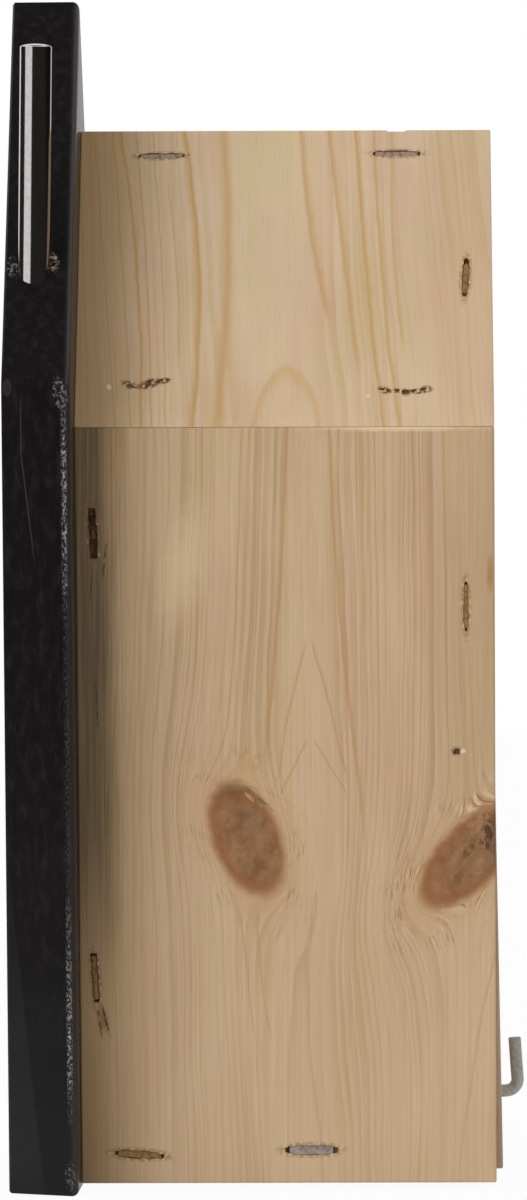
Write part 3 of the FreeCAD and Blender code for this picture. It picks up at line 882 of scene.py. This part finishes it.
back_pine = pine(
    "back_pine", back_frame, ROOF_PALE, ROOF_LINE, heart=-8.0, depth=-14.0, fall=0.12, gap=2.6,
    line_share=(0.5, 0.5),
)
door_pine = pine(
    "door_pine", door_frame, DOOR_PALE, WALL_LINE, heart=16.0, depth=14.0, fall=0.1, gap=2.4,
    knots=[(-24.0, -48.0, 6.0, 9.0, 10, 0.1, 0.5)],
)

torn_pine, tree, surface = new_material("torn_pine")
shreds = clouds(tree, add(tree, "TexCoord").outputs["Object"], (900, 900, 500), 4.0, 0.7)
shred_colour = blend(tree, ramp(tree, shreds, 0.35, 0.7), linear(78, 48, 22), linear(146, 102, 56))
plug(tree, surface["Base Color"], shred_colour)
plug(tree, surface["Roughness"], ramp(tree, shreds, 0.2, 0.8, 0.75, 0.95))
plug(tree, surface["Normal"], bump(tree, shreds, 0.6, 0.3))

# The rod stands a little behind its place in the CAD part; its side towards the roof is painted darker, a painted
# shade that dims its reflection of the roof.
ROD_RADIUS = (rod_high.x - rod_low.x) / 2
ROD_BACK = 0.6
rod_middle = (rod_low.y + rod_high.y) / 2 + ROD_BACK
polished_steel = plain_metal(
    "polished_steel", linear(197, 195, 193), linear(188, 186, 184), 1.0, (0.1, 0.17), (700, 700, 14),
    shaded_side=(rod_middle + 0.74 * ROD_RADIUS, rod_middle + 0.92 * ROD_RADIUS, 0.75, linear(84, 80, 75)))
zinc_wire = plain_metal(
    "zinc_wire", linear(190, 191, 186), linear(168, 166, 160), 0.15, (0.45, 0.6), (400, 400, 400))
staple_steel = plain_metal(
    "staple_steel", linear(166, 152, 144), linear(132, 112, 98), 0.3, (0.35, 0.5), (500, 500, 500))
glued_wire = plain_metal(
    "glued_wire", linear(158, 118, 66), linear(118, 84, 42), 0.1, (0.4, 0.6), (600, 600, 600))
dull_wire = plain_metal(
    "dull_wire", linear(176, 150, 128), linear(128, 98, 74), 0.1, (0.45, 0.6), (500, 500, 500))

# Black paint over sawn wood: brushed, rubbed along the back arris, chipped at the chimney's foot.
BARE_SPOT = linear(196, 172, 148)
RUBBED = linear(186, 182, 177)
black_paint, tree, surface = new_material("black_paint")
place = board_place(tree, front_frame)
spot = axes(tree, place)
height = spot[2]
leaning = scale_add(tree, height, FRONT_LEAN, -FRONT_LEAN * LEAN_FROM - FRONT_SHIFT)
inward = minus(tree, leaning, spot[0])
edge_place = add(tree, "CombineXYZ", spot[1], inward, height).outputs[0]
fibre = use(tree, fibres, Place=place)
fine = clouds(tree, place, 0.9, 5.0, 0.7)
smears = clouds(tree, place, (0.45, 0.45, 0.16), 4.0, 0.7)
paint = blend(tree, ramp(tree, smears, 0.45, 0.75), linear(21, 18, 19), linear(36, 34, 35))
paint = blend(tree, ramp(tree, fibre["Streak"], 0.55, 0.75, 0.0, 0.3), paint, linear(38, 35, 36))


def paint_zone(low, high, soft):
    """A stretch of the board's height, with soft ends."""
    return hump(tree, height, low, low + soft, high - soft, high)


def paint_mark(*form):
    """A ragged oval on the board's edge, measured in from its front arris."""
    return ramp(tree, oval_radius(tree, edge_place, *form), 1.0, 0.75)


# The last brush stroke at the foot, its border running slantwise down the edge.
paint = draw(tree, paint, ramp(tree, height, 90.0, 10.0), 0.82, linear(8, 7, 8))
stroke = minus(tree, scale_add(tree, height, -0.101, 8.9), inward)
on_edge = ramp(tree, calc(tree, "ABSOLUTE", spot[1]), front_high.x - 1.2, front_high.x - 0.4)
stroke = times(tree, ramp(tree, stroke, -0.3, 0.4), on_edge, paint_zone(-5.0, 90.0, 14.0))
paint = blend(tree, stroke, paint, linear(28, 27, 29))
# The rounded back arris: paler all along, with bare flecks in two long runs.
paint = draw(tree, paint, ramp(tree, inward, 15.0, 16.4), 0.4, linear(70, 63, 60))
flecks = ramp(tree, clouds(tree, place, (2.0, 2.0, 1.0), 4.0, 0.75), 0.49, 0.57)
arris_band = hump(tree, inward, 14.4, 15.2, 15.6, 16.3)
clumps = ramp(tree, clouds(tree, place, (0.0, 0.0, 0.12), 2.0), 0.42, 0.62)
worn_runs = calc(tree, "ADD", paint_zone(14.0, 76.0, 24.0), paint_zone(142.0, 203.0, 22.0))
worn_runs = times(tree, worn_runs, scale_add(tree, clumps, 0.6, 0.5))
worn_runs = scale_add(tree, paint_zone(60.0, 160.0, 10.0), 0.08, worn_runs)
paint = draw(tree, paint, times(tree, flecks, worn_runs, arris_band), 0.9, RUBBED)
# Scuffs under the eave corner, dust and bare chips at the chimney's foot, one long scratch.
broken = ramp(tree, clouds(tree, place, 1.1, 5.0, 0.75), 0.5, 0.62)
for mark, share, ink in (
        (paint_mark(14.6, 199.0, 2.0, 4.6, 12, 0.5), 0.45, RUBBED),
        (paint_mark(15.2, 5.0, 1.5, 4.0, 0, 0.6), 0.45, RUBBED),
        (paint_mark(2.0, 231.5, 1.6, 3.2, 0, 0.5), 0.4, RUBBED),
        (paint_mark(12.4, 232.6, 1.3, 3.0, 10, 0.8), 0.95, BARE_SPOT),
        (paint_mark(10.4, 230.6, 1.2, 0.8, 0, 0.8), 0.9, BARE_SPOT)):
    paint = draw(tree, paint, times(tree, mark, broken), share, ink)
paint = draw(tree, paint, paint_mark(1.5, 200.6, 1.3, 2.6, 0, 0.1), 0.5, linear(56, 54, 55))
bend = calc(tree, "MAXIMUM", minus(tree, 184.0, height), 0.0)
scratch = calc(tree, "ABSOLUTE", minus(tree, inward, scale_add(tree, bend, 0.115, 4.8)))
scratch = times(tree, ramp(tree, scratch, 0.3, 0.05), paint_zone(154.0, 201.0, 10.0))
paint = draw(tree, paint, scratch, 0.5, linear(66, 66, 70))
plug(tree, surface["Base Color"], paint)
plug(tree, surface["Roughness"], ramp(tree, fine, 0.3, 0.7, 0.55, 0.7))
relief = scale_add(tree, fibre["Streak"], 1.0, times(tree, fine, 0.4))
plug(tree, surface["Normal"], bump(tree, relief, 0.5, 0.25))
surface["Specular IOR Level"].default_value = 0.04
surface["Coat Weight"].default_value = 0.4
surface["Coat Roughness"].default_value = 0.16

# Pieces.

ARRIS = 0.45
ROOF_ARRIS = 0.3
# The chip in the ridge end of the right roof slope: where it starts and ends, and how deep it is.
RIDGE_CHIP = (30.2, 35.6)
CHIP_DEEP = 0.5


def side_board(name, node, own_frame, outline, first, last, arris, look, seats, chip=None):
    """A wall or a roof slope, with its torn seats, that meets the leaning front board."""
    board = blank(outline, "y", first, last)
    soften(board, arris)
    carve_seats(board, seats)
    if chip:
        chip_end(board, *chip, SLOPE_LONG, CHIP_DEEP)
    finish_piece(name, board, own_frame, [look, torn_pine], "box", "pine", node, meet_front=True)


def slope_outline(long):
    """A roof slope from the side, its foot cut to the wall's top."""
    return [(0, 0), (0, long), (-ROOF_THICK, long), (-ROOF_THICK, ROOF_THICK)]


def oblong(left, right, foot, top):
    """The outline of a plain board."""
    return [(left, foot), (right, foot), (right, top), (left, top)]


wall_outline = oblong(-WALL_THICK, 0, 0, WALL_TALL)
side_board("right_wall", "side_wall_right", right_wall_frame, wall_outline, BOX_FRONT, BOX_REAR, ARRIS,
           right_wall_pine, wall_seats)
side_board("left_wall", "side_wall_left", left_wall_frame, wall_outline, -BOX_REAR, -BOX_FRONT, ARRIS,
           left_wall_pine, other_side(wall_seats))
side_board("right_roof", "roof_board_right", right_roof_frame, slope_outline(SLOPE_LONG),
           BOX_FRONT, BOX_REAR, ROOF_ARRIS, right_roof_pine, roof_seats + ridge_seats, chip=RIDGE_CHIP)
side_board("left_roof", "roof_board_left", left_roof_frame, slope_outline(SLOPE_LONG - ROOF_THICK),
           -BOX_REAR, -BOX_FRONT, ROOF_ARRIS, left_roof_pine, other_side(roof_seats))

# Front board: its back edge is rounded, its front edge chamfered, its outline uneven from slice to slice.
BACK_ROUND = 1.7
FRONT_CHAMFER = 0.5
SLICE = 8
UNEVEN_REACH = 0.12
UNEVEN_SCALE = 0.11
UNEVEN_SEED = 1
FOOT_BELOW = 4.0
half_front = front_high.x
front_peak = front_high.z + PEAK_RISE
front_eave = front_high.z - half_front + EAVE_RISE
front_board = blank(
    [(-half_front, 0), (half_front, 0), (half_front, front_eave), (0, front_peak),
     (-half_front, front_eave)],
    "x", 0, -FRONT_THICK, holes=[(0, HOLE_UP, HOLE_RADIUS)])
soften(front_board, BACK_ROUND, 4, lambda edge: all(vert.co.x < 1 - FRONT_THICK for vert in edge.verts))
soften(front_board, FRONT_CHAMFER, 1, lambda edge: all(vert.co.x > -0.01 for vert in edge.verts))
for up in range(SLICE, int(front_high.z) - SLICE // 2, SLICE):
    slice_through(front_board, (0, 0, up), UP)
noise.seed_set(UNEVEN_SEED)
roughen(front_board, UNEVEN_REACH, UNEVEN_SCALE)
for vert in front_board.verts:
    if vert.co.z < FOOT_BELOW:
        vert.co.z += FOOT_SLANT * (1 + vert.co.x / FRONT_THICK)
    vert.co.x -= front_plane(vert.co.z)
finish_piece("front_house_board", front_board, front_frame, [black_paint], "box", "black_paint",
             "front_board", flat_over=1e5)

inner_wide = panel_high.x
inner_panel = blank(oblong(-inner_wide, inner_wide, 0, WALL_TALL), "x", 0, panel_low.y - panel_high.y,
                    holes=[(0, HOLE_UP - BOX_FOOT, HOLE_RADIUS)])
soften(inner_panel, ARRIS)
finish_piece("inner_panel", inner_panel, panel_frame, [panel_pine], "box", "pine", "inner_front_panel")

hang_hole = {mount["name"]: mount for mount in frame["record"]["mounts"]}["hang_hole"]
hang_up = hang_hole["pos_m"][2] / MM - BOX_FOOT
back_foot = back_low.z - BOX_FOOT
back_peak = back_high.z - BOX_FOOT
seat_half = HALF_BOX - ROOF_THICK * math.sqrt(2)
back_panel = blank(
    [(-inner_wide, back_foot), (inner_wide, back_foot), (inner_wide, WALL_TALL), (seat_half, WALL_TALL),
     (0, back_peak), (-seat_half, WALL_TALL), (-inner_wide, WALL_TALL)],
    "x", 0, back_low.y - back_high.y, holes=[(0, hang_up, hang_hole["dims"]["r_mm"])])
soften(back_panel, ARRIS)
finish_piece("fixed_back", back_panel, back_frame, [back_pine], "box", "pine", "back_panel")

floor_thick = floor_high.z - floor_low.z
floor_board = blank(oblong(-floor_thick, 0, -inner_wide, inner_wide), "y", floor_low.y, floor_high.y)
soften(floor_board, ARRIS)
finish_piece("floor_board", floor_board, floor_frame, [floor_pine], "box", "pine", "floor_panel")

# Door: its top is rounded about the pivot, so that it clears the fixed back.
DOOR_THICK = 18.0
DOOR_SIDE_GAP = 0.6
DOOR_INSET = BOX_REAR - DOOR_PIVOT.y
DOOR_SHOULDER = 7.0
DOOR_LIFT = 4.2
ROUND_STEPS = 10
door_round = math.hypot(DOOR_INSET, DOOR_SHOULDER)
door_foot = DOOR_LIFT - DOOR_PIVOT.z
door_front = DOOR_INSET - DOOR_THICK
door_side = inner_wide - DOOR_SIDE_GAP
shoulder_turn = math.atan2(DOOR_SHOULDER, DOOR_INSET)
round_top = []
for step in range(ROUND_STEPS + 1):
    angle = shoulder_turn + (math.pi / 2 - shoulder_turn) * step / ROUND_STEPS
    round_top.append((door_round * math.cos(angle), door_round * math.sin(angle)))
door = blank([(door_front, door_foot), (DOOR_INSET, door_foot), *round_top, (door_front, door_round)], "y",
             -door_side, door_side)
soften(door, ARRIS)
finish_piece("hinged_door", door, door_frame, [door_pine], "door", "pine", "clean_out_door")

# Chimney rod: turned, its top edge rounded, leaning a little back.
ROD_DOME = 0.9
ROD_FOOT = 229.5
ROD_LEAN = math.radians(-0.7)
rod_top = rod_high.z - ROD_FOOT
rod_sunk = rod_low.z - ROD_FOOT
dome = []
for turn in range(0, 91, 10):
    sine = math.sin(math.radians(turn))
    dome.append((ROD_RADIUS * math.cos(math.radians(turn)), rod_top - ROD_DOME * (1 - sine)))
rod = turned([(0, rod_sunk), (ROD_RADIUS, rod_sunk), *dome], UP, (1, 0, 0), 96)
rod_place = Matrix.Translation(((rod_low.x + rod_high.x) / 2, rod_middle, ROD_FOOT))
finish_piece("steel_chimney", rod, rod_place @ Matrix.Rotation(ROD_LEAN, 4, "X"), [polished_steel], "box",
             "polished_steel", "chimney_rod", angle=12, flat_over=30.0)

# Latch hook: a wire circle drawn out of the wall, swept round the bend and up.
HOOK_RADIUS = 1.65
HOOK_BEND = 3.0
HOOK_SUNK = 20.0
HOOK_REACH = 7.3
HOOK_LEG = 14.0
HOOK_END_ROUND = 0.4
HOOK_TILT = math.radians(4)
bend_from = HOOK_REACH - HOOK_BEND
hook = bmesh.new()
bmesh.ops.create_circle(
    hook, segments=28, radius=HOOK_RADIUS, cap_ends=True,
    matrix=Matrix.Translation((0, -HOOK_SUNK, 0)) @ Matrix.Rotation(math.radians(90), 4, "X"))
tip = draw_out(hook, hook.faces[:], (0, HOOK_SUNK + bend_from, 0))
swept = bmesh.ops.spin(hook, geom=tip, cent=(0, bend_from, HOOK_BEND), axis=(1, 0, 0),
                       angle=math.radians(90), steps=12)["geom_last"]
bmesh.ops.delete(hook, geom=tip, context="FACES_ONLY")
tip = picked(swept, bmesh.types.BMFace)
draw_out(hook, tip, (0, 0, HOOK_LEG - HOOK_BEND), keep=False)
bmesh.ops.delete(hook, geom=tip, context="FACES_ONLY")
close_up(hook)
soften(hook, HOOK_END_ROUND, 3)
hook_frame = Matrix.Translation(pivots["latch_turn"]) @ Matrix.Rotation(HOOK_TILT, 4, "X")
finish_piece("wire_hook", hook, hook_frame, [zinc_wire], "latch", "zinc_wire", "latch_hook", angle=40)

# Staples: bent wire, the crown a little below the face; some are brown with glue.
STAPLE_CROWN = 11.0
STAPLE_WIRE = 1.1
STAPLE_LEG = 27.0
STAPLE_ROUND = 0.3
STEEL, GLUED, DULL = 0, 1, 2


def wire_staple(own_frame, across, along, turn, sink, broad, look):
    """A staple whose crown may be hammered broader than its wire."""
    half = STAPLE_CROWN / 2
    inner = half - STAPLE_WIRE
    under = -sink - STAPLE_WIRE
    bent = blank(
        [(-STAPLE_LEG, -half), (-sink, -half), (-sink, half), (-STAPLE_LEG, half),
         (-STAPLE_LEG, inner), (under, inner), (under, -inner), (-STAPLE_LEG, -inner)],
        "y", -STAPLE_WIRE / 2, STAPLE_WIRE / 2)
    soften(bent, STAPLE_ROUND, 2)
    for vert in bent.verts:
        if vert.co.x > -sink - 0.5 * STAPLE_WIRE:
            vert.co.y *= broad / STAPLE_WIRE
    for face in bent.faces:
        face.material_index = look
    seat = own_frame @ Matrix.Translation((0, across, along)) @ Matrix.Rotation(math.radians(turn), 4, "X")
    bmesh.ops.transform(bent, matrix=seat, verts=bent.verts[:])
    return bent


def staples(name, node, *placed):
    """A node's staples, from pairs of a board's frame and the spots on it."""
    made = [wire_staple(own_frame, *spot) for own_frame, spots in placed for spot in spots]
    finish_piece(name, gather(made), Matrix.Identity(4), [staple_steel, glued_wire, dull_wire], "box",
                 "fastener_steel", node)


NAIL_RADIUS = 1.0
NAIL_POINT = -34.0
NAIL_TAPER = -31.0
# The head, a little hollow, is driven below the face: radius and depth.
NAIL_HEAD = [(NAIL_RADIUS, -1.2), (0.75, -0.85), (0, -1.0)]


def nail(name, node, own_frame, across, along):
    """A pivot nail."""
    bm = turned([(0, NAIL_POINT), (NAIL_RADIUS, NAIL_TAPER), *NAIL_HEAD], (1, 0, 0), (0, 1, 0), 24)
    bmesh.ops.translate(bm, verts=bm.verts[:], vec=(0, across, along))
    finish_piece(name, bm, own_frame, [staple_steel], "box", "fastener_steel", node)


# Staples: their place, how far the crown is sunk, how broad it is, and its look.
floor_spots = [(*FLOOR_FRONT, 0.25, 2.1, GLUED), (*FLOOR_REAR, 0.12, 2.6, STEEL)]
panel_spots = [(*PANEL_FOOT, 0.5, 1.5, GLUED), (*PANEL_TOP, 3.1, STAPLE_WIRE, GLUED)]
back_wall_spots = [(*BACK_WALL, 0.2, 1.4, GLUED)]
back_roof_spots = [(*BACK_ROOF, 0.25, 2.0, GLUED)]
ridge_spots = [(*RIDGE_FRONT, 0.1, 2.2, DULL), (*RIDGE_REAR, 0.1, 2.2, DULL)]
# The eave staples lie along the walls' tops.
EAVE_SINK = 1.2
eave_spots = [(0, along, 0, EAVE_SINK, STAPLE_WIRE, GLUED) for along in (-29.97, 35.53)]
sides = (("right", 1, right_wall_frame, right_roof_frame), ("left", -1, left_wall_frame, left_roof_frame))
for side, sign, wall_frame, roof_frame in sides:
    on_side = list if sign > 0 else other_side
    wall_mid = sign * (HALF_BOX - WALL_THICK / 2)
    eave_frame = board_frame((wall_mid, 0, EAVES + WALL_THICK / 2), UP, (0, 1, 0))
    staples(f"{side}_floor_staples", f"floor_staples_{side}", (wall_frame, on_side(floor_spots)))
    staples(f"{side}_panel_staples", f"panel_staples_{side}", (wall_frame, on_side(panel_spots)))
    staples(f"{side}_back_staples", f"back_staples_{side}", (wall_frame, on_side(back_wall_spots)),
            (roof_frame, on_side(back_roof_spots)))
    staples(f"{side}_eave_staples", f"eave_staples_{side}", (eave_frame, eave_spots))
    nail(f"{side}_pivot_nail", f"pivot_nail_{side}", wall_frame, sign * DOOR_PIVOT.y,
         DOOR_PIVOT.z - BOX_FOOT)
staples("ridge_staples_pair", "ridge_staples", (right_roof_frame, ridge_spots))

# The screws inside keep their CAD mesh.
screws = frame["nodes"]["front_screws"].data
screws.materials.clear()
screws.materials.append(staple_steel)

# Stage: floor, studio cards, lamp, camera. Lengths are metres here.

PAPER = (0.9, 0.9, 0.9, 1)
CARD = (0.03, 0.028, 0.027, 1)
WHITE = (1, 1, 1, 1)
PAPER_GLOW = 0.95
AMBIENT = 0.66
FLOOR_HALF = 8.0


def matte(name, colour):
    """A surface without any gloss."""
    material, tree, surface = new_material(name)
    surface["Base Color"].default_value = colour
    surface["Roughness"].default_value = 1.0
    surface["Specular IOR Level"].default_value = 0.0
    return material, tree


def looked_at(tree):
    """1 for what the camera sees, also in a mirror or through glass, and 0 for mere light."""
    path = add(tree, "LightPath").outputs
    indirect = calc(tree, "MAXIMUM", path["Is Glossy Ray"], path["Is Transmission Ray"])
    return calc(tree, "MAXIMUM", path["Is Camera Ray"], indirect)


floor_paper, tree = matte("floor_paper", PAPER)
white = add(tree, "Emission", WHITE, 1.0).outputs[0]
mixed = add(tree, "MixShader", times(tree, looked_at(tree), PAPER_GLOW),
            tree.nodes["Principled BSDF"].outputs[0], white)
tree.links.new(mixed.outputs[0], tree.nodes["Material Output"].inputs["Surface"])
ground = bmesh.new()
bmesh.ops.create_grid(ground, x_segments=1, y_segments=1, size=FLOOR_HALF)
new_object("floor_sheet", ground, floor_paper)

dark_card, _ = matte("dark_card", CARD)


def mirrored_card(name, bm):
    """A dark card that shows only as a reflection."""
    piece = new_object(name, bm, dark_card)
    piece.visible_camera = False
    piece.visible_diffuse = False
    piece.visible_shadow = False
    piece.visible_transmission = False


# Two upright cards bent round the rod, each from one angle to another, and a round one overhead.
CARD_REACH = 1.2
CARD_FOOT = -0.1
CARD_TOP = 0.9
CARD_MIDDLE = (0.07, -0.06, 0)
OVERHEAD_SPOT = (0.09, -0.06, 1.9)
OVERHEAD_RADIUS = 0.75
for name, first, last in (("dark_card_wide", -24, 139), ("dark_card_slim", -134, -79)):
    card = bmesh.new()
    upright = [card.verts.new((CARD_REACH, 0, up)) for up in (CARD_FOOT, CARD_TOP)]
    edge = card.edges.new(upright)
    start = Matrix.Rotation(math.radians(first), 3, "Z")
    bmesh.ops.rotate(card, verts=upright, cent=(0, 0, 0), matrix=start)
    bmesh.ops.spin(card, geom=[*upright, edge], cent=(0, 0, 0), axis=UP, angle=math.radians(last - first),
                   steps=24)
    bmesh.ops.translate(card, verts=card.verts[:], vec=CARD_MIDDLE)
    mirrored_card(name, card)
overhead = bmesh.new()
bmesh.ops.create_circle(overhead, segments=48, radius=OVERHEAD_RADIUS, cap_ends=True,
                        matrix=Matrix.Translation(OVERHEAD_SPOT))
mirrored_card("dark_card_overhead", overhead)


def turn_to(spot, aim):
    """The turn that points a lamp or a camera from a spot at its aim."""
    return (Vector(aim) - Vector(spot)).to_track_quat("-Z", "Y")


LAMP_SPOT = (0.82, -0.8, 0.2)
LAMP_AIM = (0.07, 0.0, 0.1)
LAMP_WIDE = 1.1
LAMP_TALL = 1.3
LAMP_WATTS = 8.6
lamp_data = bpy.data.lights.new("front_softbox", "AREA")
lamp_data.shape = "RECTANGLE"
lamp_data.size = LAMP_WIDE
lamp_data.size_y = LAMP_TALL
lamp_data.energy = LAMP_WATTS
lamp = bpy.data.objects.new("front_softbox", lamp_data)
lamp.location = LAMP_SPOT
lamp.rotation_mode = "QUATERNION"
lamp.rotation_quaternion = turn_to(LAMP_SPOT, LAMP_AIM)
lamp.visible_glossy = False
bpy.context.scene.collection.objects.link(lamp)

world = bpy.data.worlds.new("studio")
bpy.context.scene.world = world
world.use_nodes = True
tree = world.node_tree
background = tree.nodes["Background"].inputs
background["Color"].default_value = WHITE
plug(tree, background["Strength"], scale_add(tree, looked_at(tree), 1.0 - AMBIENT, AMBIENT))

CAMERA_SPOT = (2.478, 0.0333, 0.14775)
CAMERA_AIM = (0.078, -0.0008, 0.14775)
CAMERA_ROLL = math.radians(-0.18)
camera_data = bpy.data.cameras.new("camera")
camera_data.lens = 288.0
camera_data.sensor_width = 36.0
camera_data.clip_end = 60.0
camera = bpy.data.objects.new("camera", camera_data)
camera_turn = turn_to(CAMERA_SPOT, CAMERA_AIM).to_matrix().to_4x4() @ Matrix.Rotation(CAMERA_ROLL, 4, "Z")
camera.matrix_world = Matrix.Translation(CAMERA_SPOT) @ camera_turn
bpy.context.scene.collection.objects.link(camera)
bpy.context.scene.camera = camera
bpy.context.scene.view_settings.view_transform = "Standard"
